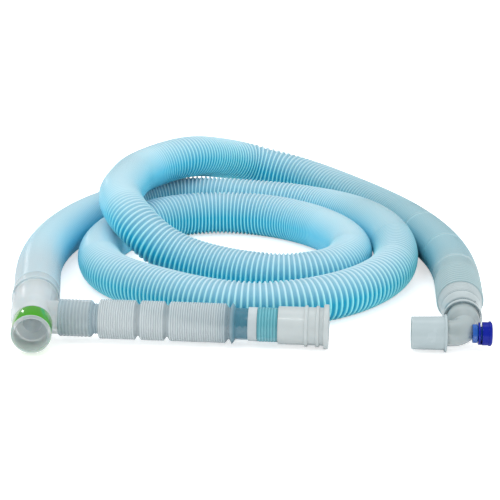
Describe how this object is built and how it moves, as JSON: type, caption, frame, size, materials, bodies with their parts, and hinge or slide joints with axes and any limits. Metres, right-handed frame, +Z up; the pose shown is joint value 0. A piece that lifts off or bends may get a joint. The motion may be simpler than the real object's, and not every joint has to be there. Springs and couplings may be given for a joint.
{
  "type": "breathing circuit",
  "caption": "Coaxial corrugated breathing hose in flat loops, with a clear tee, an expandable side limb and a patient elbow with a capped sampling port.",
  "frame": {"origin": "on the floor, in the middle of the fittings' footprint (the free hose left out)", "axes": "+X from the tee to the patient elbow, +Y back towards the loops of the hose, +Z up"},
  "size_m": [0.3319, 0.3664, 0.0644],
  "materials": {
    "hose": "pale blue translucent polyethylene, corrugated, satin",
    "soft_clear": "soft clear plastic, slightly cloudy",
    "clear": "clear moulded plastic, slightly green-grey",
    "green": "glossy bright green",
    "inner_hose": "pale blue clear plastic",
    "teal": "translucent teal",
    "white": "milky white, satin",
    "light_blue": "translucent mid blue",
    "dark_blue": "glossy deep blue"
  },
  "bodies": {
    "root": {"corrugated_hose": "hose", "manifold_cuff": "soft_clear", "manifold_body": "clear", "port_ring": "green", "inner_hose_manifold_end": "inner_hose", "expandable_limb": "soft_clear", "limb_connector": "teal", "limb_end_cuff": "white", "elbow_cuff": "soft_clear", "inner_hose_patient_end": "inner_hose", "elbow_body": "clear", "patient_sleeve": "white", "sampling_port": "light_blue", "sampling_cap": "dark_blue"}
  },
  "joints": []
}
